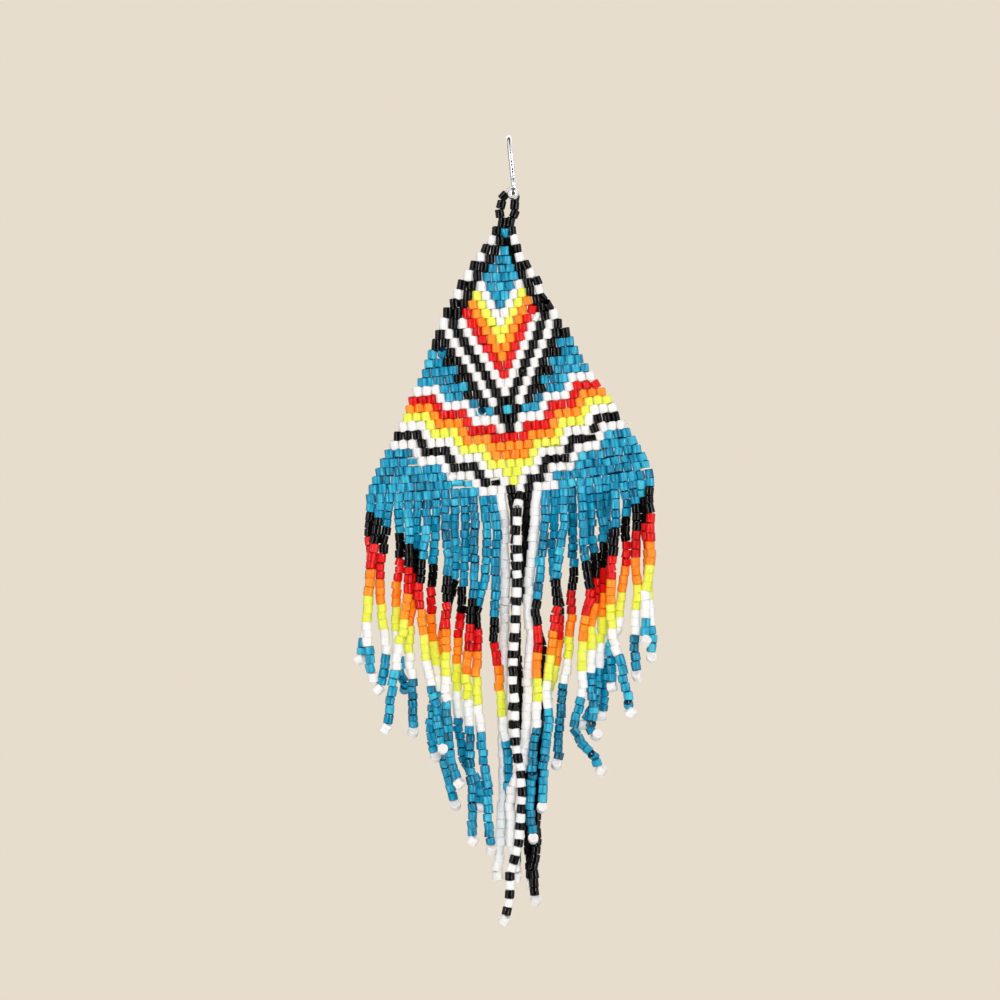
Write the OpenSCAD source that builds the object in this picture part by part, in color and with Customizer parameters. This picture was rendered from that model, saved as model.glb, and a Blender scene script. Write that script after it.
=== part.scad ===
// Beaded fringe earring: a wire ear hook, a loop of beads, a brick-stitched
// triangle and thirty-two strands of beads hanging from its lower edge.
// The front looks along -Y, the hook bends in the YZ plane, and the origin is
// the underside of the hook's arch, where the earring hangs in the ear.

/* [Ear hook] */
// Thickness of the hook's wire
wire_d = 0.8; // [0.6:0.05:0.9]
// Radius of the arch, to the middle of the wire
arch_r = 4; // [3.6:0.1:4.4]
// Straight stretch of the front leg under the arch
front_leg = 3.5; // [3.2:0.1:3.8]
// Straight stretch of the back leg under the arch
back_leg = 5; // [4:0.5:7]
// Radius of the outward flare at the end of the back leg
flare_r = 12; // [8:1:20]
// Angle of that flare, in degrees
flare_angle = 20; // [10:1:30]
// Sideways lean of the hook in the ear, in degrees
hook_lean = 6; // [3:0.5:8]
// Radius of the eye ring, to the middle of its wire
eye_r = 1.1; // [1.05:0.05:1.2]
// Thickness of the eye ring's wire
eye_wire_d = 0.7; // [0.5:0.05:0.75]
// Diameter of the ball soldered to the front of the eye
ball_d = 2.1; // [1.8:0.1:2.2]

/* [Beads] */
// Outer diameter of a bead
bead_d = 1.5; // [1.3:0.05:1.5]
// Hole through a loop bead
bead_bore = 0.7; // [0.5:0.05:0.8]
// Length of a loop bead
loop_bead_len = 1.05; // [0.9:0.05:1.1]
// Thickness of the thread
thread_d = 0.3; // [0.15:0.05:0.3]

/* [Panel] */
// Rows in the brick-stitched panel; row one has two beads
panel_rows = 31; // [31:1:31]
// Distance between beads in a row, left of the middle
pitch_left = 1.6; // [1.56:0.01:1.62]
// Distance between beads in a row, right of the middle
pitch_right = 1.51; // [1.5:0.01:1.56]
// Distance from one row to the next
row_pitch = 1.53; // [1.5:0.01:1.56]
// Drop from the origin to the middle of the first row
panel_drop = 14.55; // [14.5:0.05:14.8]
// How far the ends of the lowest row curl up above its middle
row_curl = 0.45; // [0:0.05:0.6]

/* [Fringe] */
// Diameter of a strand
strand_d = 1.4; // [1.2:0.05:1.42]
// Clear gap between the panel and a strand
strand_gap = 0.12; // [0.05:0.01:0.2]
// Straight start of a strand, before it follows its route
neck = 0.6; // [0.4:0.1:1]
// Longest stretch of a strand between two rings of its surface
ring_gap = 4.4; // [3:0.2:6]
// Sides of a strand and of the thread
strand_sides = 8; // [8:1:12]

/* [Hidden] */
$fn = 48;
// The eye hangs under the front leg, and the thread rests in it
eye_drop = arch_r - wire_d / 2 + front_leg + eye_r;
eye_y = -arch_r;
eye_x = eye_drop * sin(hook_lean);
eye_z = -eye_drop * cos(hook_lean);
// The ball sits in front of the eye, a little under it and to its left
ball_y = eye_y - 2.1;
ball_drop = eye_drop + 1.55;
ball_side = -0.3;
// The middle plane of everything that hangs from the eye
drop_y = eye_y;

// Panel rows: how the middle of a row has drifted sideways, how the row tilts, how far
// its beads crowd together on either side of the middle, how far the middle has sagged,
// and how much the ends curl up
// columns: row, sideways place
row_drift = [
    [1, -0.44], [2, -0.69], [5, -0.86], [7, -1.42], [10, -1.54], [13, -1.46], [15, -1.36],
    [18, -0.88], [20, -0.68], [22, -0.27], [24, 0.1], [28, 0.3], [30, 0.8], [31, 1.19]
];
// columns: row, tilt in degrees
row_tilt = [[5, 0], [6, 1.2], [7, 1.8], [8, 3.8], [11, 4], [12, 5.6], [18, 5.3], [31, 5.1]];
// columns: row, share of the pitch
left_crowding = [
    [1, 0.96], [2, 0.94], [3, 0.89], [4, 0.99], [7, 1], [8, 1.04], [9, 1.01], [10, 0.985],
    [11, 1.025], [14, 1], [17, 0.975], [20, 0.995], [22, 0.98], [24, 1], [31, 1.012]
];
right_crowding = [
    [1, 1.01], [2, 0.8], [3, 0.76], [5, 0.715], [6, 0.895], [7, 0.975], [8, 1.05], [9, 0.99],
    [10, 1.04], [13, 1.01], [14, 1.06], [17, 1.02], [20, 1.036], [23, 1.033], [24, 1.007],
    [27, 1.033], [29, 1.025], [31, 0.984]
];
// columns: row, drop of its middle
row_sag = [
    [2, 0], [4, 0.36], [5, 0.38], [7, 0.18], [9, 0.36], [11, 0.25], [13, 0.06], [23, 0],
    [25, 0.2], [27, 0.14], [29, 0], [31, -0.15]
];
// columns: row, share of the curl
row_bow = [
    [1, 0], [4, 0.9], [6, 1.55], [7, 1], [8, 1.45], [11, 1.9], [12, 0.55], [13, 0.45],
    [15, -0.45], [20, -0.45], [22, 0.4], [24, 0.65], [26, 1.2], [28, 1], [30, 1.6], [31, 1]
];

// The line that the routes of the strands are measured from: the place of its middle
// under row 31, its tilt in degrees, and how far its ends curl up
hang_middle = 0.9;
hang_tilt = 5.1;
hang_curl = 0.3;

// Route of the loop's thread, seen from the front: across, up
loop_left = [[-1.5, -13.66], [-1.6, -12.2], [-1.2, -10.6], [-0.42, -9.55]];
loop_top = [[-0.6, -9.05], [-0.35, -8.65], [0.35, -8.5], [1.25, -8.62], [1.53, -9.25]];
loop_right = [[1.42, -9.85], [1.1, -11], [1, -12.32], [0.62, -13.66]];

// The fringe, strand by strand from left to right
// columns: name, colour, depth high up, depth at the end, route
// A route's columns: drop below the hanging line, sideways drift from it
STRANDS = [
    ["strand_l01", "teal", 0.8, 0.8,
        [[5, -0.3], [10, 0.2], [15, -0.2], [20, -0.7], [25, -1.5], [27.5, -2]]],
    ["strand_l02", "teal", -0.8, -0.8,
        [[5, -0.7], [10, -1.5], [20, -2.3], [25, -1.9], [30.6, -1]]],
    ["strand_l03", "teal", 0, 0.2,
        [[5, -0.8], [10, -1.5], [15, -1.6], [20, -1.2], [25, -0.3], [30, -1.2], [32.8, -2.2]]],
    ["strand_l04", "teal", 0.8, 1.9,
        [[5, 0.2], [10, 0.2], [15, -0.3], [20, -0.5], [25, -0.2], [29, 0.2], [31.5, 1.4],
         [33.8, 0.8]]],
    ["strand_l05", "teal", -0.8, -0.8,
        [[5, 0.3], [15, 0], [20, -0.5], [25, -1.5], [30, -2.3], [39.8, -3.9]]],
    ["strand_l06", "teal", 0.6, 0.6,
        [[5, 0], [10, -0.4], [15, -0.6], [20, -1.2], [25, -1.4], [30, -0.8], [40.6, -0.7]]],
    ["strand_l07", "teal", -0.8, -0.8,
        [[5, 0.1], [10, -0.7], [15, -1.3], [20, -0.9], [25, -0.3], [30, 0.7], [32.5, 0.8],
         [35, 1.9], [38, 1.9], [43.5, 3.1]]],
    ["strand_l08", "teal", 0.8, 0.8,
        [[5, 0], [15, -0.7], [20, -0.7], [25, -0.2], [32, 0.4], [35, -0.5], [40, -0.9],
         [45.1, 0.2]]],
    ["strand_l09", "teal", -1.7, -1.7,
        [[5, 0.2], [10, 0.6], [15, 0.3], [35, 0.3], [40, 0.7], [45, 1.2], [49.5, 2.9]]],
    ["strand_l10", "teal", 1.6, 2.6,
        [[5, 0.1], [10, 0.3], [15, -0.2], [20, -1.5], [25, -2.3], [40, -1.8], [45, -1.9],
         [50, -0.4], [53.7, 0.5]]],
    ["strand_l11", "teal", 0.4, 1.2,
        [[5, 0.4], [10, 0.3], [20, -0.4], [25, -1], [35, -1.2], [45, -0.1], [49, 2.7],
         [54.2, 2.9]]],
    ["strand_l12", "teal", -0.6, -0.6,
        [[5, 0.5], [15, 0.2], [20, -0.4], [25, -0.6], [30, -1.1], [40, -0.5], [50, -0.2],
         [59.9, 0.1]]],
    ["strand_l13", "teal", 0.8, 0,
        [[5, 0.9], [10, 0.9], [15, 0.3], [20, -1.1], [25, -0.7], [30, -1], [45, 0.2], [50, 1.1],
         [55, 1], [61.6, 1.8]]],
    ["strand_l14", "teal", -0.4, 2.2,
        [[5, 0.9], [15, 0.9], [20, 0.6], [25, 0.6], [30, 1.3], [40, 2.1], [45, 2.9], [50, 3],
         [60, 4.4], [65, 4.4]]],
    ["strand_l15", "white", 2.6, 2.8,
        [[5, 0.6], [15, 0.8], [30, 0.5], [50, 0.5], [55, 0.3], [60, -0.1], [66.6, -0.5]]],
    ["strand_l16", "black", 0.6, 2.3,
        [[2.6, 0.9], [20, 1.1], [27, 1.2], [36, 1.9], [42, 2.1], [48, 2.6], [53, 2.8], [61, 3.4],
         [68.1, 3.8]]],
    ["strand_c", "silver", -1.6, -1.6,
        [[2.2, -0.2], [10, -0.4], [15, -0.2], [20, -0.3], [30, -1.1], [35, -0.8], [40, -0.8],
         [45, -0.2], [50, 0.6], [55, 0.4], [60, 0], [65, -1.6], [70, -1.6], [74.1, -2.6]]],
    ["strand_r01", "black", 1.5, 0.7,
        [[5, -0.3], [15, -0.4], [18, -0.3], [23, 1.6], [26, 2.5], [45, 2], [50, 1.6], [60, 1.6],
         [65, 1], [71.1, 1.5]]],
    ["strand_r02", "white", -0.2, 0.2,
        [[5, -0.4], [10, -0.7], [15, -1.1], [20, -1.2], [25, -0.8], [30, -1.3], [40, -1.6],
         [47, -2.2], [50.5, -4.1], [54, -4.5], [60, -4.2], [67.1, -3.3]]],
    ["strand_r03", "teal", -1.1, -1,
        [[5, 0], [15, -0.9], [20, -1.6], [25, -1.1], [30, -1.4], [40, -1.3], [45, -2.1],
         [55, -2.5], [60.6, -1.9]]],
    ["strand_r04", "teal", 0.8, 3.3,
        [[5, 0.2], [10, -0.3], [15, 0.2], [20, 1.1], [25, 1], [30, 0.4], [35, -1], [40, -1.8],
         [45, -2.7], [50, -3.4], [57.4, -3.8]]],
    ["strand_r05", "teal", -0.8, -0.8,
        [[5, 0.5], [10, -0.4], [15, -1.2], [20, -0.9], [30, -2.3], [35, -2.8], [40, -2.1],
         [45, -3], [50, -3.4], [55.6, -3.6]]],
    ["strand_r06", "teal", 0.5, 0.5,
        [[5, 0.4], [15, 0.4], [20, 0.1], [30, -0.7], [35, -1.5], [48.4, -2.6]]],
    ["strand_r07", "teal", -1.1, -1,
        [[3, 0.5], [11, 0.8], [18, 1.9], [22, 0.9], [28, 0.2], [35, 0.5], [41, -1.1],
         [43.5, -0.1], [45, 1.7], [47, 3], [49.4, 4]]],
    ["strand_r08", "teal", 0.4, -0.6,
        [[3.5, 0.5], [9, 0.4], [11.5, 1.2], [19, 1.3], [24, 0.5], [33, 0.4], [39.5, 0.9],
         [41, 0.2], [41.8, 0.1], [42.4, 1.1], [43.2, 2.2]]],
    ["strand_r09", "teal", 0.9, 1.2,
        [[3.5, 0.4], [6, 1], [18, 1.1], [26, 0.7], [34, 0.2], [37, -0.3], [39, -1.3], [40, -2.1],
         [42, -2.9]]],
    ["strand_r10", "teal", 2.3, 2.7,
        [[4, 0.2], [20, 0.2], [27, -0.1], [36, -0.1], [40.7, -0.9]]],
    ["strand_r11", "teal", -0.9, -0.9,
        [[5, 0.2], [10.5, -0.1], [13.5, -0.7], [22, -0.7], [27, -0.2], [31, 1.1], [34, 1.7],
         [40.2, 3]]],
    ["strand_r12", "teal", 0.7, 0.7,
        [[3, 0.6], [8, 0.3], [11, 0.7], [14, 0.3], [20.5, -0.5], [24.5, -0.8], [28.2, -2.5],
         [29.7, -2.1], [36, -1.9]]],
    ["strand_r13", "teal", -0.5, -0.4,
        [[4, 0.8], [13, 0.5], [19, 0.9], [26, 0.5], [29, 0.3], [34.2, 0.9]]],
    ["strand_r14", "teal", 0.8, 0.8,
        [[4, 0.4], [12, 1.2], [20, 1.4], [25.5, 1.8], [27.3, 2.2], [29, 1.6], [31.2, 2]]],
    ["strand_r15", "teal", -0.8, -0.8,
        [[4, -0.2], [5.5, 0.1], [12, 0.1], [16, -0.2], [18.5, -0.7], [28.6, -0.8]]],
];

// Place of a bead in the panel, seen from the front: across, up.
// across_beads counts beads from the row's middle, negative to the left.
function pitch(row, across_beads) = across_beads < 0 ?
    pitch_left * lookup(row, left_crowding) : pitch_right * lookup(row, right_crowding);
function bead_place(row, across_beads) =
    let (tilt = lookup(row, row_tilt), reach = across_beads * pitch(row, across_beads))
    [
        lookup(row, row_drift) + reach * cos(tilt),
        -panel_drop - (row - 1) * row_pitch - lookup(row, row_sag) + reach * sin(tilt)
            + row_curl * lookup(row, row_bow) * pow(2 * across_beads / row, 2)
    ];

// Stepped sides of the panel, one step for each row; side is -1 or 1
function side_bead(row, side) = bead_place(row, side * row / 2);
function step_z(row, side) =
    row == 1 ? side_bead(1, side)[1] + row_pitch / 2 :
    row > panel_rows ? side_bead(panel_rows, side)[1] - row_pitch / 2 :
    (side_bead(row - 1, side)[1] + side_bead(row, side)[1]) / 2;
function side_steps(side) = [
    for (row = [1:panel_rows]) each [
        [side_bead(row, side)[0] + side * bead_d / 2, step_z(row, side)],
        [side_bead(row, side)[0] + side * bead_d / 2, step_z(row + 1, side)]
    ]
];
function lower_edge() = [
    for (c = [-panel_rows / 2 + 3.1:3.1:panel_rows / 2 - 3]) bead_place(panel_rows, c) - [0, row_pitch / 2]
];
function backwards(points) = [for (i = [len(points) - 1:-1:0]) points[i]];

// Stops down a strand: its route's points, with no stretch longer than ring_gap
function stretch_stops(from, to) =
    let (n = ceil((to - from) / ring_gap))
    [for (j = [1:n]) from + (to - from) * j / n];
function route_stops(route, start) = let (drops = [start, start + neck, each [for (p = route) p[0]]])
    [start, for (i = [1:len(drops) - 1]) each stretch_stops(drops[i - 1], drops[i])];

// Place of a strand on the hanging line, and of its top under the lowest row
function hang_place(i) =
    let (across_beads = i - panel_rows / 2)
    let (reach = across_beads * (across_beads < 0 ? pitch_left : pitch_right))
    [
        hang_middle + reach * cos(hang_tilt),
        -panel_drop - (panel_rows - 0.5) * row_pitch - strand_gap + reach * sin(hang_tilt)
            + hang_curl * pow(2 * across_beads / panel_rows, 2)
    ];
function strand_top(i) = bead_place(panel_rows, i - panel_rows / 2) - [0, row_pitch / 2 + strand_gap];
function strand_start(i) = hang_place(i)[1] - strand_top(i)[1];

// Middle of a strand at a drop below the hanging line
function strand_point(i, drop) =
    let (s = STRANDS[i], route = s[4], hang = hang_place(i), below_neck = strand_start(i) + neck)
    let (last = route[len(route) - 1][0], shift = strand_top(i)[0] - hang[0])
    [
        hang[0] + lookup(drop, [[below_neck, shift], each route]),
        drop_y + lookup(drop, [[below_neck, 0], [route[0][0], s[2]], [last, s[3]]]),
        hang[1] - drop
    ];
function strand_points(i) =
    [for (drop = route_stops(STRANDS[i][4], strand_start(i))) strand_point(i, drop)];

// A round tube of diameter d swept through points, square to its route
function unit(v) = v / norm(v);
function heading(points, i) = unit(points[min(i + 1, len(points) - 1)] - points[max(i - 1, 0)]);
function ring(points, i, d) =
    let (along = heading(points, i), side = unit(cross(along, [0, 1, 0])), back = cross(side, along))
    [for (k = [0:strand_sides - 1]) let (a = 360 * k / strand_sides)
        points[i] + d / 2 * (cos(a) * side + sin(a) * back)];
module tube(points, d) {
    n = len(points);
    skin = [
        for (i = [0:n - 2]) for (k = [0:strand_sides - 1])
            let (a = i * strand_sides + k, b = i * strand_sides + (k + 1) % strand_sides)
            [a, b, b + strand_sides, a + strand_sides]
    ];
    top_cap = [for (k = [strand_sides - 1:-1:0]) k];
    end_cap = [for (k = [0:strand_sides - 1]) (n - 1) * strand_sides + k];
    polyhedron([for (i = [0:n - 1]) each ring(points, i, d)], [each skin, top_cap, end_cap], convexity = 6);
}

// The hook is drawn in its own plane: across is Y, up is Z
module in_hook_plane() rotate([0, -hook_lean, 0]) rotate([90, 0, 90]) children();
module wire_arc(r, d, from, sweep)
    rotate(from) rotate_extrude(angle = sweep) translate([r, 0]) circle(d = d);
module wire_leg(length) translate([0, -length]) rotate([-90, 0, 0]) cylinder(d = wire_d, h = length);

module ear_hook() {
    arch_z = wire_d / 2 - arch_r;
    flare_start = arch_z - back_leg;
    color("silver") in_hook_plane() {
        translate([0, arch_z]) wire_arc(arch_r, wire_d, 0, 180);
        translate([-arch_r, arch_z]) wire_leg(front_leg + wire_d / 4);
        translate([arch_r, arch_z]) wire_leg(back_leg);
        translate([arch_r + flare_r, flare_start]) {
            wire_arc(flare_r, wire_d, 180, flare_angle);
            rotate(180 + flare_angle) translate([flare_r, 0]) sphere(d = 0.95 * wire_d);
        }
        translate([eye_y, -eye_drop]) wire_arc(eye_r, eye_wire_d, 0, 360);
        translate([ball_y, -ball_drop, ball_side]) sphere(d = ball_d);
        ball_stem();
    }
}

// A short stem from the front of the eye ring to the middle of the ball
module ball_stem() {
    out = unit([ball_y - eye_y, eye_drop - ball_drop]);
    hull() {
        translate([eye_y, -eye_drop] + eye_r * out) sphere(d = 0.5, $fn = 12);
        translate([ball_y, -ball_drop, ball_side]) sphere(d = 0.5, $fn = 12);
    }
}

module loop_bead(from, to) {
    middle = (from + to) / 2;
    turn = atan2(to[0] - from[0], to[1] - from[1]);
    translate([middle[0], drop_y, middle[1]]) rotate([0, turn, 0]) difference() {
        cylinder(d = bead_d, h = loop_bead_len, center = true);
        cylinder(d = bead_bore, h = 2 * loop_bead_len, center = true);
    }
}

module bead_loop() color("black") for (side = [loop_left, loop_right])
    for (i = [1:len(side) - 1]) loop_bead(side[i - 1], side[i]);

module loop_thread() {
    route = concat(loop_left, loop_top, loop_right);
    color("ivory") tube([for (p = route) [p[0], drop_y, p[1]]], thread_d);
}

module bead_panel() {
    outline = concat(side_steps(-1), lower_edge(), backwards(side_steps(1)));
    color("darkcyan") translate([0, drop_y, 0]) rotate([90, 0, 0])
        linear_extrude(height = bead_d, center = true) polygon(outline);
}

module strand(i) color(STRANDS[i][1]) tube(strand_points(i), strand_d);

ear_hook();
bead_loop();
loop_thread();
bead_panel();
for (i = [0:len(STRANDS) - 1])
    strand(i);
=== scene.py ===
"""Looks for the beaded fringe earring: seed beads, thread, silver and the studio round them.

The front looks along -Y, and the drop hangs in the plane Y = -4 mm, under the eye of the ear hook.
Tables are in millimetres and degrees, and the settings' lengths in metres.
"""
import math
import random

import bmesh
import bpy
from mathutils import Matrix, Vector


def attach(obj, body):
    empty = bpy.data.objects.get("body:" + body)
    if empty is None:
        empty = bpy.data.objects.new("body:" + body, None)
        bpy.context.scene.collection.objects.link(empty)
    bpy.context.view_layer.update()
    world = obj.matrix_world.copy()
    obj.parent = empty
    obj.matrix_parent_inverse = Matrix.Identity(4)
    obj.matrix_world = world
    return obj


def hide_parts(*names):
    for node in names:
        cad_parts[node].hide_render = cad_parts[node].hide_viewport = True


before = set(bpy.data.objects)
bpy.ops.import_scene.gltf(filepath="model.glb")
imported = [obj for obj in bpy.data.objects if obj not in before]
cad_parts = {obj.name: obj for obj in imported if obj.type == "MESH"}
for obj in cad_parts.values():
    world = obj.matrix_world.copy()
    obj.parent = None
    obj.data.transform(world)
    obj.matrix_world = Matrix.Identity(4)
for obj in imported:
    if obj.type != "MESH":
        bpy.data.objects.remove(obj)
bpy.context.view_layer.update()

bl_info = {
    "name": "Beaded Fringe Earring",
    "version": (1, 0, 0),
    "blender": (4, 5, 0),
    "location": "View3D > Sidebar > Earring",
    "description": "Strings the seed beads of a fringe earring round its packed frame",
    "category": "Object",
}

MM = 0.001
DROP_BODY = "drop"
FRONT = Vector((0, -1, 0))
UP = Vector((0, 0, 1))

# Tables of the real earring

# The worn panel's shape, row by row: where the middle of a row lies, how the row tilts, how far its
# beads crowd together left and right of the middle, how far the middle has sagged, how much the
# ends curl up, and how the end beads lean. Other rows lie evenly between the rows named here.
# columns: row, sideways place of its middle
ROW_DRIFT = [(1, -0.44), (2, -0.69), (5, -0.86), (7, -1.42), (10, -1.54), (13, -1.46), (15, -1.36),
             (18, -0.88), (20, -0.68), (22, -0.27), (24, 0.1), (28, 0.3), (30, 0.8), (31, 1.19)]
# columns: row, tilt
ROW_TILT = [(5, 0), (6, 1.2), (7, 1.8), (8, 3.8), (11, 4), (12, 5.6), (18, 5.3), (31, 5.1)]
# columns: row, share of the pitch
LEFT_CROWDING = [(1, 0.96), (2, 0.94), (3, 0.89), (4, 0.99), (7, 1), (8, 1.04), (9, 1.01),
                 (10, 0.985), (11, 1.025), (14, 1), (17, 0.975), (20, 0.995), (22, 0.98), (24, 1),
                 (31, 1.012)]
RIGHT_CROWDING = [(1, 1.01), (2, 0.8), (3, 0.76), (5, 0.715), (6, 0.895), (7, 0.975), (8, 1.05),
                  (9, 0.99), (10, 1.04), (13, 1.01), (14, 1.06), (17, 1.02), (20, 1.036),
                  (23, 1.033), (24, 1.007), (27, 1.033), (29, 1.025), (31, 0.984)]
# columns: row, drop of its middle
ROW_SAG = [(2, 0), (4, 0.36), (5, 0.38), (7, 0.18), (9, 0.36), (11, 0.25), (13, 0.06), (23, 0),
           (25, 0.2), (27, 0.14), (29, 0), (31, -0.15)]
# columns: row, share of the curl
ROW_BOW = [(1, 0), (4, 0.9), (6, 1.55), (7, 1), (8, 1.45), (11, 1.9), (12, 0.55), (13, 0.45),
           (15, -0.45), (20, -0.45), (22, 0.4), (24, 0.65), (26, 1.2), (28, 1), (30, 1.6), (31, 1)]
# columns: row, lean of its first bead, lean of its last bead
END_LEAN = [(2, 3, -6), (4, 14, -9), (5, 5, -8), (6, 10, -18), (7, 2, -12), (8, 14, -16), (9, 8, -10),
            (10, 2, -10), (12, 8, -3), (14, 5, 0), (18, 0, -4), (20, 0, -18), (21, 0, -6), (23, 0, -10),
            (31, 0, -5)]

# The line that the strands' routes are measured from: its middle, its tilt and its curl
HANG_MIDDLE, HANG_TILT, HANG_CURL = 0.9, 5.1, 0.3

# Beads of the panel that sit askew
# columns: row, count from the left, lean, nod, shares of width and of length, moved across, up, back
ODD_BEADS = [
    (1, 0, 8, 0, 1.06, 1.12, 0.1, 0, 0),
    (1, 1, 12, 0, 1.05, 1.15, -0.05, 0.1, 0),
    (2, 1, 3, 20, 1, 1.12, -0.05, -0.1, -0.5),
    (9, 8, -3, 0, 0.95, 1.15, -0.1, 0, 0),
    (10, 10, -38, 0, 0.95, 1.05, -0.6, -0.1, 0),
    (11, 9, 8, 18, 1.08, 1, 0.1, 0, 0),
    (11, 11, -32, 34, 1, 1.05, -0.3, -0.1, 0),
    (12, 10, 24, -10, 0.75, 0.95, 0.1, -0.1, 0),
    (14, 0, 3, 0, 0.95, 1.3, 0, -0.1, 0),
    (14, 1, 2, 0, 0.95, 0.85, 0, 0.1, 0),
    (15, 1, -4, 40, 1, 0.95, 0.1, 0.2, 0),
    (18, 11, 0, 64, 1, 0.95, 0.1, 0, 0),
    (22, 8, 40, 50, 1.1, 0.95, 0.1, -0.2, 0),
    (24, 21, 0, 0, 1.05, 1.25, 0, 0, 0),
    (26, 22, 83, 0, 0.68, 1.12, 0, -0.1, 0),
    (27, 3, 0, 0, 0.98, 0.68, 0, 0, 0),
    (29, 8, 38, 0, 0.85, 0.8, 0.1, -0.1, 0),
    (30, 9, 88, 8, 0.66, 1.35, 0, 0.25, 0),
    (30, 10, -3, 0, 1, 0.68, 0.25, 0, 0),
    (30, 13, 80, 5, 0.68, 1.02, 0.15, -0.2, 0),
]

# Ends of the sewing thread that stick out of the panel: across, up
LOOSE_ENDS = [
    [(22.6, -57.1), (23.7, -56.85), (24.6, -56.75), (25.3, -56.35)],
    [(19.9, -49.7), (20.4, -49.15), (20.9, -48.95), (20.8, -49.4)],
    [(-5.45, -46.75), (-5.35, -47.4), (-4.95, -47.85), (-4.4, -47.8), (-3.95, -47.3)],
]

# Beads of the fringe that show their holes
# columns: strand, drop below its top, lean, nod
ODD_FRINGE = [
    ("r03", 49, 0, 32),
    ("r07", 45.8, -20, 40),
    ("r08", 41.2, 15, 62),
    ("r11", 37.9, 0, 48),
]

# How the end beads lie: lean, nod. Those of the other strands lie on their sides.
END_TURNS = {
    "l01": (62, 25), "l02": (-4, 14), "l03": (45, 4), "l04": (10, 55), "l05": (33, 3), "l06": (20, 48),
    "l07": (10, 76), "l08": (25, 55), "l09": (42, 18), "l10": (-12, 62), "l12": (32, 24),
    "l13": (12, 38), "l15": (-8, 8), "c": (36, 22), "r01": (22, 38), "r02": (5, 20), "r03": (0, 72),
    "r05": (15, 68), "r06": (0, 58), "r07": (28, 26), "r08": (30, 55), "r11": (48, 12),
    "r12": (78, 18), "r13": (-25, 45), "r14": (8, 80), "r15": (30, 42),
}
ON_ITS_SIDE = (90, 0)
# End beads that stand off the end of their route: moved up, moved to the front
END_MOVES = {"l04": (1, 0), "l07": (0, 1.1), "r15": (0, 0.9)}
# The strand whose end bead is teal, and the one whose knot lies deep in its bead's hole
TEAL_ENDED, DEEP_KNOTTED = "l04", "r14"

# Shares of the usual length of a bead, on strands whose bands hang lower or higher
BAND_STRETCH = {"r04": 0.985, "r07": 1.045, "r08": 0.985}
# Least and greatest length of the beads in a banded strand's last group
LAST_GROUP_PITCH = (1.2, 1.56)
# Where a strand's beads start above its route, as a share of the gap there, and where they end above
# the middle of the end bead, as a share of its width
START_RISE, END_REST = 1.2, 0.48
# Half the length of the knot as a share of the end bead's: the usual knot, and the deep one. Width of
# the knot as a share of the hole's.
KNOT_REACH, DEEP_KNOT_REACH, KNOT_WIDTH = 0.46, 0.25, 1.15
# Straight steps in a strand's thread
THREAD_STEPS = 24

# The loop's beads, seen from the front
# columns: middle across, middle up, lean
LOOP_BEADS = [
    (-0.89, -10.01, 44), (-1.33, -11.44, 15), (-1.6, -12.96, -9),
    (1.05, -10.4, 8), (0.96, -11.62, 4), (0.92, -13.05, 22),
]
# Route of the loop's thread, seen from the front: across, up
LOOP_ROUTE = [
    (-1.5, -13.66), (-1.6, -12.2), (-1.2, -10.6), (-0.42, -9.55), (-0.6, -9.05), (-0.35, -8.65),
    (0.35, -8.5), (1.25, -8.62), (1.53, -9.25), (1.42, -9.85), (1.1, -11), (1, -12.32),
    (0.62, -13.66),
]

# Groups of beads in a strand, from its top: colour, how many
BANDS = ("black", "red", "orange", "yellow", "white")
BAND_BEADS = 3


def banded(teal_beads):
    """Beads of a strand that starts teal, runs through the five bands and ends teal."""
    bands = [(colour, BAND_BEADS) for colour in BANDS]
    return [("teal", teal_beads), *bands, ("teal", teal_beads + 1), ("end", 1)]


def plain(colour, beads):
    """Beads of a strand in one colour."""
    return [(colour, beads), ("end", 1)]


def striped(beads):
    """Beads of the middle strand, black and white by turns."""
    return [(("black", "white")[i % 2], 1) for i in range(beads)] + [("end", 1)]


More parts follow.
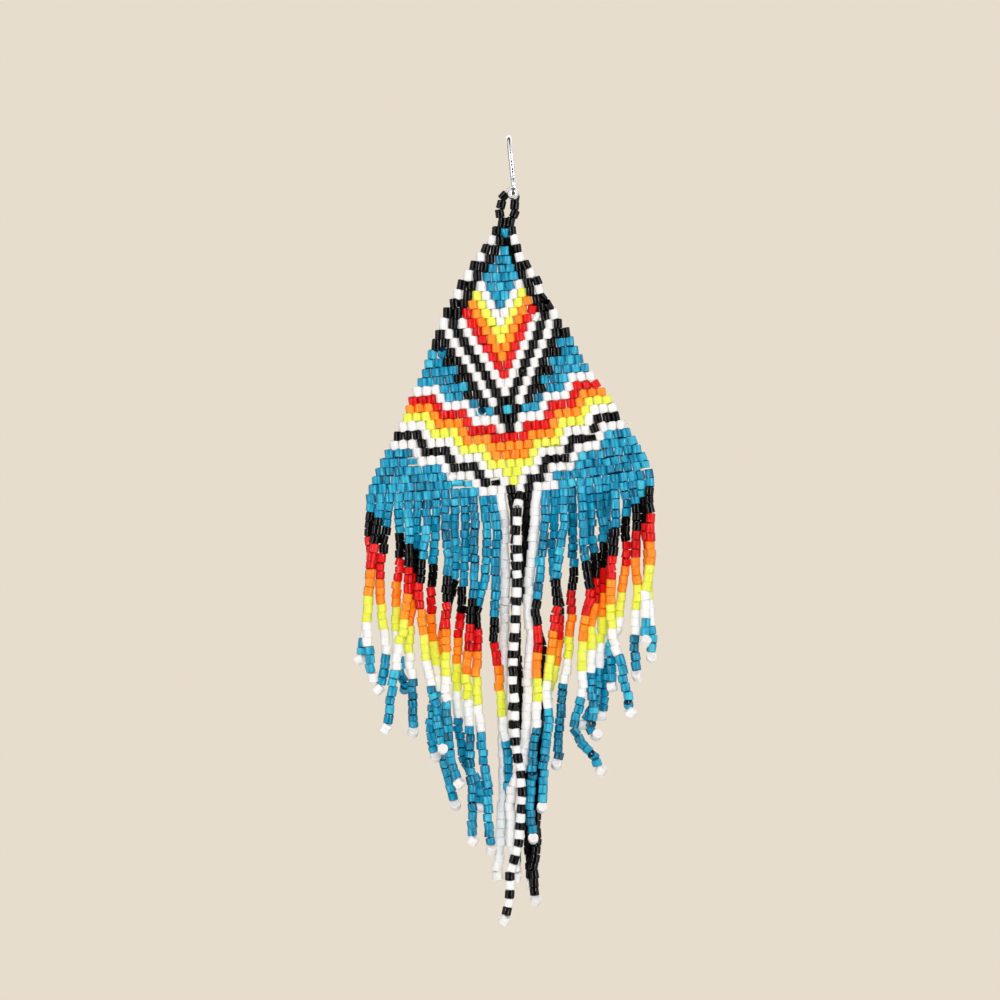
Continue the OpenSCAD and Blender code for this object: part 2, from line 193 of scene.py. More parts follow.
# The fringe, strand by strand from left to right
# columns: name, groups of beads, depth high up, depth at the end, route
# A route's columns: drop below the hanging line, sideways drift
STRANDS = [
    ("l01", banded(1), 0.8, 0.8,
     [(5, -0.3), (10, 0.2), (15, -0.2), (20, -0.7), (25, -1.5), (27.5, -2)]),
    ("l02", banded(2), -0.8, -0.8,
     [(5, -0.7), (10, -1.5), (20, -2.3), (25, -1.9), (30.6, -1)]),
    ("l03", banded(3), 0, 0.2,
     [(5, -0.8), (10, -1.5), (15, -1.6), (20, -1.2), (25, -0.3), (30, -1.2), (32.8, -2.2)]),
    ("l04", banded(4), 0.8, 1.9,
     [(5, 0.2), (10, 0.2), (15, -0.3), (20, -0.5), (25, -0.2), (29, 0.2), (31.5, 1.4),
      (33.8, 0.8)]),
    ("l05", banded(5), -0.8, -0.8,
     [(5, 0.3), (15, 0), (20, -0.5), (25, -1.5), (30, -2.3), (39.8, -3.9)]),
    ("l06", banded(6), 0.6, 0.6,
     [(5, 0), (10, -0.4), (15, -0.6), (20, -1.2), (25, -1.4), (30, -0.8), (40.6, -0.7)]),
    ("l07", banded(7), -0.8, -0.8,
     [(5, 0.1), (10, -0.7), (15, -1.3), (20, -0.9), (25, -0.3), (30, 0.7), (32.5, 0.8),
      (35, 1.9), (38, 1.9), (43.5, 3.1)]),
    ("l08", banded(8), 0.8, 0.8,
     [(5, 0), (15, -0.7), (20, -0.7), (25, -0.2), (32, 0.4), (35, -0.5), (40, -0.9),
      (45.1, 0.2)]),
    ("l09", banded(9), -1.7, -1.7,
     [(5, 0.2), (10, 0.6), (15, 0.3), (35, 0.3), (40, 0.7), (45, 1.2), (49.5, 2.9)]),
    ("l10", banded(10), 1.6, 2.6,
     [(5, 0.1), (10, 0.3), (15, -0.2), (20, -1.5), (25, -2.3), (40, -1.8), (45, -1.9),
      (50, -0.4), (53.7, 0.5)]),
    ("l11", banded(11), 0.4, 1.2,
     [(5, 0.4), (10, 0.3), (20, -0.4), (25, -1), (35, -1.2), (45, -0.1), (49, 2.7),
      (54.2, 2.9)]),
    ("l12", banded(12), -0.6, -0.6,
     [(5, 0.5), (15, 0.2), (20, -0.4), (25, -0.6), (30, -1.1), (40, -0.5), (50, -0.2),
      (59.9, 0.1)]),
    ("l13", banded(13), 0.8, 0,
     [(5, 0.9), (10, 0.9), (15, 0.3), (20, -1.1), (25, -0.7), (30, -1), (45, 0.2),
      (50, 1.1), (55, 1), (61.6, 1.8)]),
    ("l14", banded(14), -0.4, 2.2,
     [(5, 0.9), (15, 0.9), (20, 0.6), (25, 0.6), (30, 1.3), (40, 2.1), (45, 2.9),
      (50, 3), (60, 4.4), (65, 4.4)]),
    ("l15", plain("white", 44), 2.6, 2.8,
     [(5, 0.6), (15, 0.8), (30, 0.5), (50, 0.5), (55, 0.3), (60, -0.1), (66.6, -0.5)]),
    ("l16", plain("black", 46), 0.6, 2.3,
     [(2.6, 0.9), (20, 1.1), (27, 1.2), (36, 1.9), (42, 2.1), (48, 2.6), (53, 2.8),
      (61, 3.4), (68.1, 3.8)]),
    ("c", striped(49), -1.6, -1.6,
     [(2.2, -0.2), (10, -0.4), (15, -0.2), (20, -0.3), (30, -1.1), (35, -0.8), (40, -0.8),
      (45, -0.2), (50, 0.6), (55, 0.4), (60, 0), (65, -1.6), (70, -1.6), (74.1, -2.6)]),
    ("r01", plain("black", 47), 1.5, 0.7,
     [(5, -0.3), (15, -0.4), (18, -0.3), (23, 1.6), (26, 2.5), (45, 2), (50, 1.6),
      (60, 1.6), (65, 1), (71.1, 1.5)]),
    ("r02", plain("white", 45), -0.2, 0.2,
     [(5, -0.4), (10, -0.7), (15, -1.1), (20, -1.2), (25, -0.8), (30, -1.3), (40, -1.6),
      (47, -2.2), (50.5, -4.1), (54, -4.5), (60, -4.2), (67.1, -3.3)]),
    ("r03", banded(13), -1.1, -1,
     [(5, 0), (15, -0.9), (20, -1.6), (25, -1.1), (30, -1.4), (40, -1.3), (45, -2.1),
      (55, -2.5), (60.6, -1.9)]),
    ("r04", banded(12), 0.8, 3.3,
     [(5, 0.2), (10, -0.3), (15, 0.2), (20, 1.1), (25, 1), (30, 0.4), (35, -1),
      (40, -1.8), (45, -2.7), (50, -3.4), (57.4, -3.8)]),
    ("r05", banded(11), -0.8, -0.8,
     [(5, 0.5), (10, -0.4), (15, -1.2), (20, -0.9), (30, -2.3), (35, -2.8), (40, -2.1),
      (45, -3), (50, -3.4), (55.6, -3.6)]),
    ("r06", banded(10), 0.5, 0.5,
     [(5, 0.4), (15, 0.4), (20, 0.1), (30, -0.7), (35, -1.5), (48.4, -2.6)]),
    ("r07", banded(9), -1.1, -1,
     [(3, 0.5), (11, 0.8), (18, 1.9), (22, 0.9), (28, 0.2), (35, 0.5), (41, -1.1),
      (43.5, -0.1), (45, 1.7), (47, 3), (49.4, 4)]),
    ("r08", banded(8), 0.4, -0.6,
     [(3.5, 0.5), (9, 0.4), (11.5, 1.2), (19, 1.3), (24, 0.5), (33, 0.4), (39.5, 0.9),
      (41, 0.2), (41.8, 0.1), (42.4, 1.1), (43.2, 2.2)]),
    ("r09", banded(7), 0.9, 1.2,
     [(3.5, 0.4), (6, 1), (18, 1.1), (26, 0.7), (34, 0.2), (37, -0.3), (39, -1.3),
      (40, -2.1), (42, -2.9)]),
    ("r10", banded(6), 2.3, 2.7,
     [(4, 0.2), (20, 0.2), (27, -0.1), (36, -0.1), (40.7, -0.9)]),
    ("r11", banded(5), -0.9, -0.9,
     [(5, 0.2), (10.5, -0.1), (13.5, -0.7), (22, -0.7), (27, -0.2), (31, 1.1),
      (34, 1.7), (40.2, 3)]),
    ("r12", banded(4), 0.7, 0.7,
     [(3, 0.6), (8, 0.3), (11, 0.7), (14, 0.3), (20.5, -0.5), (24.5, -0.8),
      (28.2, -2.5), (29.7, -2.1), (36, -1.9)]),
    ("r13", banded(3), -0.5, -0.4,
     [(4, 0.8), (13, 0.5), (19, 0.9), (26, 0.5), (29, 0.3), (34.2, 0.9)]),
    ("r14", banded(2), 0.8, 0.8,
     [(4, 0.4), (12, 1.2), (20, 1.4), (25.5, 1.8), (27.3, 2.2), (29, 1.6), (31.2, 2)]),
    ("r15", banded(1), -0.8, -0.8,
     [(4, -0.2), (5.5, 0.1), (12, 0.1), (16, -0.2), (18.5, -0.7), (28.6, -0.8)]),
]

# Tone of the glass, from 0 for the deepest to 1 for the palest: colours, and white
PANEL_TONE, PANEL_WHITE_TONE = 0.5, 0.45
# The fringe's white beads get a paler tone than the panel's: painted light that brightens those that hang
# in shade
FRINGE_TONE, FRINGE_WHITE_PAINTED_LIGHT_TONE = 0.55, 0.85
# Painted shade and painted light on whole strands: a deeper tone for strands that hang in shade and a paler
# one for those in light, in place of the fringe's usual tone
STRAND_PAINTED_LIGHT_AND_SHADE = {
    "l01": 0.7, "l03": 0.3, "l06": 0.2, "l09": 0.3, "l11": 0.3, "l12": 0.15, "l14": 0.35, "r03": 0.3,
    "r06": -0.1, "r08": 0.2, "r09": 0.3, "r10": 0.3, "r13": 0.1, "r14": 0.9,
}

# How far a strand hangs in front of its route; columns: drop below its top, distance
FORWARD = {"l15": [(0, 0), (1, 0.2), (3, 1.3), (17, 1.2), (21, 0)]}

FINISHES = ("teal", "black", "white", "yellow", "orange", "red")
# columns: power and share of the colour where the glass is deepest, which the painted shade at the cut ends
# takes, power where it is palest, roughness, share of drawn streaks, gloss, light under the skin
GLASS = {
    "teal": (1.2, 0.2, 0.5, 0.08, 0.5, 0.36, 0.0),
    "black": (1.2, 1.0, 0.85, 0.07, 0.5, 0.23, 0.0),
    "white": (1.15, 1.0, 0.3, 0.35, 0.3, 0.25, 0.85),
    "yellow": (1.35, 1.0, 0.85, 0.26, 0.4, 0.28, 0.5),
    "orange": (1.4, 0.97, 0.85, 0.18, 0.5, 0.26, 0.2),
    "red": (1.4, 0.45, 0.7, 0.1, 0.5, 0.25, 0.0),
}
# How much longer the pale beads are, so that their rims meet without a groove. In the panel it is
# half as much.
PRESSED = {"white": 1.1, "yellow": 1.07, "orange": 1.05}

# How unevenly a bead is cut, in shares of its size: its rim, the slant of its ends, its taper and
# how far it is out of round
BEAD_CUTS = 9
RIM, SLANTS, TAPER, OUT_OF_ROUND = (0.05, 0.1), (0.09, 0.06), 0.05, 0.03
# How much the tone differs from bead to bead, how much painted shade darkens a bead's cut ends, for the
# shaded seams between beads, and how far in its wall reaches as a share of its width
TONE_SPREAD, END_PAINTED_SHADE, WALL_DEPTH = 0.22, 1.6, 0.04
# How far the streaks of a bead may lie from those of another, in bead widths
GRAIN_SHIFT = 40
# Least angle between two faces that shows as an edge
EDGE_ANGLE = 38
# How much wider a bead is than the usual, and shares of the usual length: the panel's, the fringe's
PANEL_WIDTHS, PANEL_LENGTHS = (-0.06, 0.06), (1.0, 1.07)
FRINGE_WIDTHS, FRINGE_LENGTHS = (-0.08, 0.06), (0.86, 1.14)
# How far crowded beads stand in front or behind, as a share of the room that they lack
CROWD_DEPTH = 1.2
# Row below which, and count from the middle beyond which, the panel's lower right corner is slack
SLACK_ROW, SLACK_ACROSS = 24, 3
# How far beads lean and nod out of true: the loop's, the panel's, those of its slack lower right
# corner, the fringe's, and the fringe's kinked ones with their share
LOOP_ASKEW, PANEL_ASKEW, SLACK_ASKEW = (1, 3), (2.8, 3.5), (6.5, 9.0)
FRINGE_ASKEW, KINKED_ASKEW, KINKED_SHARE = (3.5, 3.0), (9.0, 3.0), 0.12
# How far they stray from their places across, to the back and up
PANEL_STRAY, FRINGE_STRAY = (0.02, 0.05, 0.02), (0.09, 0.06)
# Depth of the sewing thread inside the panel, depth and share of its stitches that show at the
# front, and depth of the loose ends
SEWN_DEPTH, SHOWN_DEPTH, SHOWN_SHARE, LOOSE_DEPTH = (0.3, 0.55), -0.66, 0.05, -0.8

# The lamps: place from the middle of the drop in m, size in m, strength in W, what they light
LAMPS = {
    "left_wall": ((-0.487, -0.112, 0.22), (1.0, 1.2), 3.0, "gloss"),
    "right_wall": ((0.487, -0.112, 0.22), (1.0, 1.2), 3.2, "gloss"),
    "left_strip": ((-0.55, -0.62, 0.1), (0.05, 1.0), 3.2, "gloss"),
    "right_strip": ((0.56, -0.61, 0.1), (0.05, 1.0), 3.2, "gloss"),
    "left_side": ((-0.487, -0.15, 0.22), (1.0, 1.2), 2.4, "matte"),
    "right_side": ((0.487, -0.15, 0.22), (1.0, 1.2), 2.6, "matte"),
    "front_fill": ((0.02, -0.85, 0.22), (0.3, 0.8), 5.7, "matte"),
    "back_softbox": ((0.1, 0.9, 0.4), (1.2, 0.9), 4.0, "both"),
}


# Settings

def measure(name, description, millimetres, least=0.0):
    """A length setting."""
    return bpy.props.FloatProperty(name=name, description=description, default=millimetres * MM,
                                   min=least, subtype="DISTANCE", unit="LENGTH", precision=5)


def tint(name, description, default):
    """A colour setting."""
    return bpy.props.FloatVectorProperty(name=name, description=description, default=default,
                                         subtype="COLOR", size=3, min=0.0, max=1.0)


class EarringHookSettings(bpy.types.PropertyGroup):
    """Finish of the ear hook."""
    silver: tint("Silver", "Colour of the silver plate", (0.9, 0.895, 0.885))


class EarringBeadSettings(bpy.types.PropertyGroup):
    """Sizes and colours of the seed beads."""
    strand_width: measure("Strand bead width", "Outer width of a fringe bead", 1.62)
    end_width: measure("End bead width", "Outer width of a strand's last bead", 1.76)
    end_length: measure("End bead length", "Length of a strand's last bead", 1.58)
    wider: measure("Wider", "How much wider the beads of the white strands are", 0.14)
    loop_width: measure("Loop bead width", "Outer width of a loop bead", 1.55)
    loop_length: measure("Loop bead length", "Length of a loop bead", 1.42)
    bore: measure("Bore", "Hole through a bead", 0.72)
    sides: bpy.props.IntProperty(name="Sides", description="Faces round a bead", default=10, min=8,
                                 max=16)
    teal: tint("Teal glass", "Colour of the teal beads", (0.003, 0.3, 0.52))
    black: tint("Black glass", "Colour of the black beads", (0.0014, 0.001, 0.0011))
    white: tint("White glass", "Colour of the white beads", (0.88, 0.865, 0.86))
    yellow: tint("Yellow glass", "Colour of the yellow beads", (0.84, 0.88, 0.1))
    orange: tint("Orange glass", "Colour of the orange beads", (1.0, 0.29, 0.012))
    red: tint("Red glass", "Colour of the red beads", (0.78, 0.005, 0.005))


class EarringPanelSettings(bpy.types.PropertyGroup):
    """Sizes of the brick-stitched panel, as the frame has them."""
    rows: bpy.props.IntProperty(name="Rows", description="Rows of the panel", default=31, min=31, max=31)
    pitch_left: measure("Left pitch", "Distance between beads left of the middle", 1.6)
    pitch_right: measure("Right pitch", "Distance between beads right of the middle", 1.51)
    row_pitch: measure("Row pitch", "Distance from one row to the next", 1.53)
    drop: measure("Drop", "Drop from the ear to the middle of the first row", 14.55)
    curl: measure("Curl", "How far the ends of the lowest row curl up", 0.45)
    plane: measure("Plane", "Place of the drop's middle plane along Y", -4.0, least=-0.01)


class EarringThreadSettings(bpy.types.PropertyGroup):
    """Sizes and colour of the thread."""
    sewing: measure("Sewing thread", "Thickness of the panel's thread", 0.12)
    stringing: measure("Stringing thread", "Thickness of a strand's thread", 0.2)
    loose: measure("Loose thread", "Thickness of the frayed ends that stick out", 0.32)
    hanging: measure("Hanging thread", "Thickness of the loop's doubled thread", 0.14)
    colour: tint("Thread", "Colour of the thread", (0.86, 0.8, 0.72))


class EarringFringeSettings(bpy.types.PropertyGroup):
    """Sizes of the fringe."""
    neck: measure("Neck", "Straight start of a strand", 0.6)
    top_gap: measure("Top gap", "Clear gap between the panel and a strand", 0.12)
    bead_pitch: measure("Bead pitch", "Length of a bead on a banded strand, above its last group", 1.465)
    end_rise: measure("End rise", "Middle of a strand's last bead above the end of its route", 1.05)


class EarringStageSettings(bpy.types.PropertyGroup):
    """The camera's view, the floor and the air."""
    lens: bpy.props.FloatProperty(name="Lens", description="Focal length of the camera", default=150.0,
                                  unit="CAMERA")
    view_width: measure("View width", "Width that the camera frames", 172.0)
    centre_x: measure("Centre across", "Middle of the view along X", -1.548, least=-1.0)
    centre_z: measure("Centre height", "Middle of the view along Z", -62.264, least=-1.0)
    floor_drop: measure("Floor", "Drop from the ear to the floor", 950.0)
    pale: tint("Pale", "Colour of the floor and of the air behind the earring", (0.8, 0.72, 0.61))
    air_light: bpy.props.FloatProperty(name="Air light", description="Strength of the even light",
                                       default=0.1, min=0.0)


# Measures

def lookup(table, at):
    """Value of a table at a place, straight between its rows."""
    if at <= table[0][0]:
        return table[0][1]
    for (low, first), (high, second) in zip(table, table[1:]):
        if at <= high:
            return first + (second - first) * (at - low) / (high - low)
    return table[-1][1]


def pitch_at(row, across):
    """Distance between the beads of a row, on one side of its middle."""
    panel = bpy.context.scene.earring_panel
    if across < 0:
        return panel.pitch_left * lookup(LEFT_CROWDING, row)
    return panel.pitch_right * lookup(RIGHT_CROWDING, row)


def bead_place(row, across):
    """Place of a bead in the panel: across, up. across counts beads from the row's middle."""
    panel = bpy.context.scene.earring_panel
    tilt = math.radians(lookup(ROW_TILT, row))
    reach = across * pitch_at(row, across)
    curl = panel.curl * lookup(ROW_BOW, row) * (2 * across / row) ** 2
    height = -panel.drop - (row - 1) * panel.row_pitch - lookup(ROW_SAG, row) * MM
    return (lookup(ROW_DRIFT, row) * MM + reach * math.cos(tilt), height + reach * math.sin(tilt) + curl)


def hang_place(index):
    """Place of a strand on the hanging line: across, up."""
    panel, fringe = bpy.context.scene.earring_panel, bpy.context.scene.earring_fringe
    across, tilt = index - panel.rows / 2, math.radians(HANG_TILT)
    reach = across * (panel.pitch_left if across < 0 else panel.pitch_right)
    height = -panel.drop - (panel.rows - 0.5) * panel.row_pitch - fringe.top_gap
    curl = HANG_CURL * MM * (2 * across / panel.rows) ** 2
    return HANG_MIDDLE * MM + reach * math.cos(tilt), height + reach * math.sin(tilt) + curl


def in_plane(across, up, depth=0.0):
    """A point at a depth behind the drop's middle plane."""
    return Vector((across, bpy.context.scene.earring_panel.plane + depth, up))


def strand_route(index):
    """Points down a strand, from its top under the lowest row."""
    _, _, depth_high, depth_end, table = STRANDS[index]
    panel, fringe = bpy.context.scene.earring_panel, bpy.context.scene.earring_fringe
    across, up = hang_place(index)
    top_across, top_up = bead_place(panel.rows, index - panel.rows / 2)
    top_up -= panel.row_pitch / 2 + fringe.top_gap
    first, last = table[0][0], table[-1][0]
    neck_drop = (up - top_up + fringe.neck) / MM
    depths = [(neck_drop, 0), (first, depth_high), (last, depth_end)]
    return [in_plane(top_across, top_up), in_plane(top_across, top_up - fringe.neck),
            *(in_plane(across + drift * MM, up - drop * MM, lookup(depths, drop) * MM)
              for drop, drift in table)]


def lengths_along(route):
    """Length of the route up to each of its points."""
    so_far = [0.0]
    for here, there in zip(route, route[1:]):
        so_far.append(so_far[-1] + (there - here).length)
    return so_far


def point_along(route, lengths, at):
    """Point of a route at a length from its start, or straight on past either end."""
    step = 0
    while step < len(route) - 2 and lengths[step + 1] < at:
        step += 1
    share = (at - lengths[step]) / (lengths[step + 1] - lengths[step])
    return route[step].lerp(route[step + 1], share)


# Colours of the panel

def edge_colour(row, from_edge):
    """Colour of the black and white border on the upper rows, or None inside it."""
    if row > 11 or from_edge > (0 if row == 2 else 1):
        return None
    if from_edge == 0 and row % 2 == 1 and row > 2:
        return "white" if row < 11 else "black"
    return "black"


def in_diamond(row, from_middle):
    """Whether a bead belongs to the small diamond at the top."""
    reach = (row - 4) / 2 if row < 7 else (10 - row) / 2
    return row in (2, 3) or from_middle <= reach


def chevron_colour(row, from_middle):
    """Colour of the nested chevrons in the panel's upper half."""
    depth = row + 2 * from_middle
    if row >= 22:
        return "teal"
    if depth == 28:
        return "black" if row % 2 == 0 else "teal"
    return {12: "white", 14: "yellow", 16: "orange", 18: "red", 20: "white", 22: "black",
            24: "white", 26: "black"}.get(depth, "teal")


def stair(row, from_edge):
    """Steps that the lower bands go down, from the panel's edge to its middle."""
    steps = 2 * (from_edge // 4) + (1 if from_edge % 4 == 3 else 0)
    return min(steps, 5) if row < 27 else steps


def panel_colour(row, across):
    """Colour of a bead in the panel."""
    from_middle = abs(across)
    from_edge = int(row / 2 - from_middle)
    border = edge_colour(row, from_edge)
    if border:
        return border
    if in_diamond(row, from_middle):
        return "teal"
    depth = row + 2 * from_middle
    if row >= 22 and depth == 24:
        return "black"
    if row >= 28 and depth <= 30:
        return "yellow"
    if row == 31 and across in (-0.5, 1.5, 4.5):
        return "white" if across == 4.5 else "black"
    if row >= 29 and depth == 32:
        return "white"
    if row >= 19:
        band = row - 19 - stair(row, from_edge)
        if band >= 0:
            lower = ("white", "red", "orange", "yellow", "white", "black", "white")
            return lower[band] if band < len(lower) else "teal"
    return chevron_colour(row, from_middle)


# Materials

def feed(tree, node, **settings):
    """Give a node its settings. One with a capital letter is an input's value, or an output to link."""
    for name, value in settings.items():
        if name[0].islower():
            setattr(node, name, value)
        elif isinstance(value, bpy.types.NodeSocket):
            tree.links.new(value, node.inputs[name.replace("_", " ")])
        else:
            node.inputs[name.replace("_", " ")].default_value = value


def add_node(tree, kind, output, **settings):
    """A new shader node with its settings, given as the output that is used."""
    node = tree.nodes.new(kind)
    feed(tree, node, **settings)
    return node.outputs[output]


def new_finish(name):
    """An empty material and its tree, with a Principled shader on its output."""
    finish = bpy.data.materials.new(name)
    finish.use_nodes = True
    tree = finish.node_tree
    tree.nodes.clear()
    shader = tree.nodes.new("ShaderNodeBsdfPrincipled")
    feed(tree, tree.nodes.new("ShaderNodeOutputMaterial"), Surface=shader.outputs[0])
    return finish, tree, shader


def shade(colour, factor=1.0):
    """A colour made darker or lighter, with its alpha."""
    return (*(min(1.0, part * factor) for part in colour), 1.0)


def colour_along(tree, factor, *stops):
    """Colour that runs through (place, colour) stops as an output rises."""
    ramp = tree.nodes.new("ShaderNodeValToRGB")
    elements = ramp.color_ramp.elements
    for _ in stops[2:]:
        elements.new(0.5)
    for element, (place, colour) in zip(elements, stops):
        element.position, element.color = place, colour
    feed(tree, ramp, Fac=factor)
    return ramp.outputs["Color"]


def relief(tree, height, depth):
    """Fine relief to a depth in millimetres."""
    return add_node(tree, "ShaderNodeBump", "Normal", Strength=0.5, Distance=depth * MM, Height=height)


def glass_finish(colour_name):
    """Drawn glass of one colour: a tone for each bead, which carries painted shade at its cut ends and on
    shaded strands and painted light on pale strands, and streaks along its tube.
    """
    name = f"{colour_name}_glass"
    if name in bpy.data.materials:
        return bpy.data.materials[name]
    colour = getattr(bpy.context.scene.earring_beads, colour_name)
    deepest, share, palest, roughness, streaks, gloss, skin = GLASS[colour_name]
    finish, tree, shader = new_finish(name)
    grain = add_node(tree, "ShaderNodeAttribute", "Vector", attribute_name="glass_grain")
    # The bead's tone carries painted shade at its cut ends and on shaded strands, and painted light on pale
    # strands and the fringe's whites
    tone = add_node(tree, "ShaderNodeAttribute", "Fac", attribute_name="bead_tone")
    drawn = add_node(tree, "ShaderNodeMapping", "Vector", Vector=grain, Scale=(1, 1, 0.12))
    noise = add_node(tree, "ShaderNodeTexNoise", "Fac", Vector=drawn, Scale=3.0, Detail=3.0,
                     Roughness=0.55)
    lines = add_node(tree, "ShaderNodeMapRange", "Result", Value=noise, From_Min=0.32, From_Max=0.68)
    together = add_node(tree, "ShaderNodeMix", "Result", Factor=streaks, A=tone, B=lines)
    polish = add_node(tree, "ShaderNodeMapRange", "Result", Value=tone, To_Min=roughness * 0.8,
                      To_Max=roughness * 1.5)
    stops = ((0.0, shade([part ** deepest for part in colour], share)), (0.5, shade(colour)),
             (0.85, shade([part ** palest for part in colour])))
    feed(tree, shader, Base_Color=colour_along(tree, together, *stops), Roughness=polish,
         Normal=relief(tree, noise, 0.04), Specular_IOR_Level=gloss)
    if skin:
        feed(tree, shader, Subsurface_Weight=skin, Subsurface_Radius=(1.2 * MM, 1.2 * MM, 1.1 * MM))
    return finish


def silver_finish():
    """Polished silver plate, a little dulled in patches."""
    finish, tree, shader = new_finish("polished_silver")
    silver = bpy.context.scene.earring_hook.silver
    where = add_node(tree, "ShaderNodeTexCoord", "Object")
    patches = add_node(tree, "ShaderNodeTexNoise", "Fac", Vector=where, Scale=160.0, Detail=1.0)
    worn = add_node(tree, "ShaderNodeMapRange", "Result", Value=patches, To_Min=0.09, To_Max=0.13)
    plate = colour_along(tree, patches, (0, shade(silver, 0.86)), (1, shade(silver, 1.02)))
    feed(tree, shader, Base_Color=plate, Roughness=worn, Metallic=1.0)
    return finish


def thread_finish():
    """Waxed nylon thread, with the twist of its filaments."""
    name = "waxed_thread"
    if name in bpy.data.materials:
        return bpy.data.materials[name]
    finish, tree, shader = new_finish(name)
    colour = bpy.context.scene.earring_thread.colour
    where = add_node(tree, "ShaderNodeTexCoord", "Object")
    twist = add_node(tree, "ShaderNodeTexWave", "Fac", Vector=where, bands_direction="DIAGONAL",
                     Scale=2600.0, Distortion=1.5, Detail=2.0)
    plies = colour_along(tree, twist, (0, shade(colour, 0.7)), (1, shade(colour, 1.05)))
    feed(tree, shader, Base_Color=plies, Normal=relief(tree, twist, 0.02), Roughness=0.45)
    return finish


# Mesh tools

def placed(name, data):
    """A new object in the scene, at the origin."""
    thing = bpy.data.objects.new(name, data)
    bpy.context.scene.collection.objects.link(thing)
    return thing


def mesh_from(bm, name):
    """The mesh of a finished bmesh."""
    shape = bpy.data.meshes.new(name)
    bm.to_mesh(shape)
    bm.free()
    return shape


def turned_bead(cut):
    """One bead of unit width and length, turned from its wall; its ends are cut a little askew."""
    beads = bpy.context.scene.earring_beads
    chance = random.Random(100 + cut)
    rim = chance.uniform(*RIM)
    bore = beads.bore / beads.strand_width / 2
    wall = [(bore, 0.5 - rim / 2), (0.5 - rim, 0.5), (0.5, 0.5 - rim), (0.5, rim - 0.5),
            (0.5 - rim, -0.5), (bore, rim / 2 - 0.5)]
    bm = bmesh.new()
    corners = [bm.verts.new((reach, 0, height)) for reach, height in wall]
    outline = [bm.edges.new((a, b)) for a, b in zip(corners, corners[1:] + corners[:1])]
    bmesh.ops.spin(bm, geom=corners + outline, cent=(0, 0, 0), axis=(0, 0, 1),
                   angle=math.tau, steps=beads.sides, use_merge=True)
    bmesh.ops.remove_doubles(bm, verts=bm.verts, dist=1e-5)
    bmesh.ops.recalc_face_normals(bm, faces=bm.faces)
    slants = [[chance.uniform(-slant, slant) for slant in SLANTS] for _ in range(2)]
    taper, flat = chance.uniform(-TAPER, TAPER), chance.uniform(-OUT_OF_ROUND, OUT_OF_ROUND)
    # The flats of a many-sided bead stand inside its circle, so its corners stand outside
    full = 2 / (1 + math.cos(math.pi / beads.sides))
    for vert in bm.verts:
        across, aside = slants[0] if vert.co.z > 0 else slants[1]
        vert.co.z += across * vert.co.x + aside * vert.co.y
        vert.co.x *= full + flat + taper * vert.co.z
        vert.co.y *= full - flat + taper * vert.co.z
    for face in bm.faces:
        face.smooth = True
    return mesh_from(bm, f"bead_cut_{cut}")


def turned(axis, lean, nod):
    """An axis with its top leant to the right and nodded to the front, in degrees."""
    side = axis.cross(FRONT).normalized()
    axis = Matrix.Rotation(math.radians(nod), 3, side) @ axis
    return Matrix.Rotation(-math.radians(lean), 3, FRONT) @ axis


class BeadBox:
    """The cut beads at hand, and the string that is made from them."""

    def __init__(self, seed, tone=PANEL_TONE, white_tone=PANEL_WHITE_TONE):
        self.chance, self.usual_tone, self.white_tone = random.Random(seed), tone, white_tone
        self.cuts = [turned_bead(cut) for cut in range(BEAD_CUTS)]
        self.bm = bmesh.new()
        self.grain = self.bm.verts.layers.float_vector.new("glass_grain")
        # The bead's tone carries painted shade and painted light as well as the glass's own tone
        self.tone = self.bm.verts.layers.float.new("bead_tone")

    def add(self, centre, axis, width, length, colour):
        """One bead of a colour with its middle at centre and its bore along the axis."""
        bm, chance = self.bm, self.chance
        cut = chance.choice(self.cuts)
        bead = cut.copy()
        place = Matrix.Translation(centre) @ axis.to_track_quat("Z", "Y").to_matrix().to_4x4()
        spun = Matrix.Rotation(chance.uniform(0, math.tau), 4, "Z")
        bead.transform(place @ spun @ Matrix.Diagonal((width, width, length, 1)))
        first_vert, first_face = len(bm.verts), len(bm.faces)
        self.put_in(bead)
        shift = Vector([chance.uniform(-GRAIN_SHIFT, GRAIN_SHIFT) for _ in range(3)])
        # The usual tone holds the painted shade and painted light of whole strands and of the fringe's
        # white beads
        usual = self.white_tone if colour == "white" else self.usual_tone
        tone = min(1.0, max(0.0, chance.gauss(usual, TONE_SPREAD)))
        bm.verts.ensure_lookup_table()
        bm.faces.ensure_lookup_table()
        # The cut ends get painted shade, darker than the wall, for the shaded seams between beads
        wall = max(plain_vert.co.xy.length for plain_vert in cut.vertices) - WALL_DEPTH
        for vert, plain_vert in zip(bm.verts[first_vert:], cut.vertices):
            vert[self.grain] = plain_vert.co + shift
            vert[self.tone] = tone if plain_vert.co.xy.length > wall else tone - END_PAINTED_SHADE
        for face in bm.faces[first_face:]:
            face.material_index = FINISHES.index(colour)

    def add_thread(self, route, thickness):
        """A round thread along a route of points, in the slot after the glass."""
        self.put_in(swept_thread(route, thickness, sides=5, slot=len(FINISHES)))

    def put_in(self, shape):
        """Take a finished mesh into the string."""
        self.bm.from_mesh(shape)
        bpy.data.meshes.remove(shape)

    def askew(self, axis, lean, nod):
        """An axis that is a little out of true, by a spread of degrees."""
        return turned(axis, self.chance.gauss(0, lean), self.chance.gauss(0, nod))

    def finish(self, name):
        """The piece made of all that was added."""
        for cut in self.cuts:
            bpy.data.meshes.remove(cut)
        return piece_from(self.bm, name, [glass_finish(colour) for colour in FINISHES]
                          + [thread_finish()])


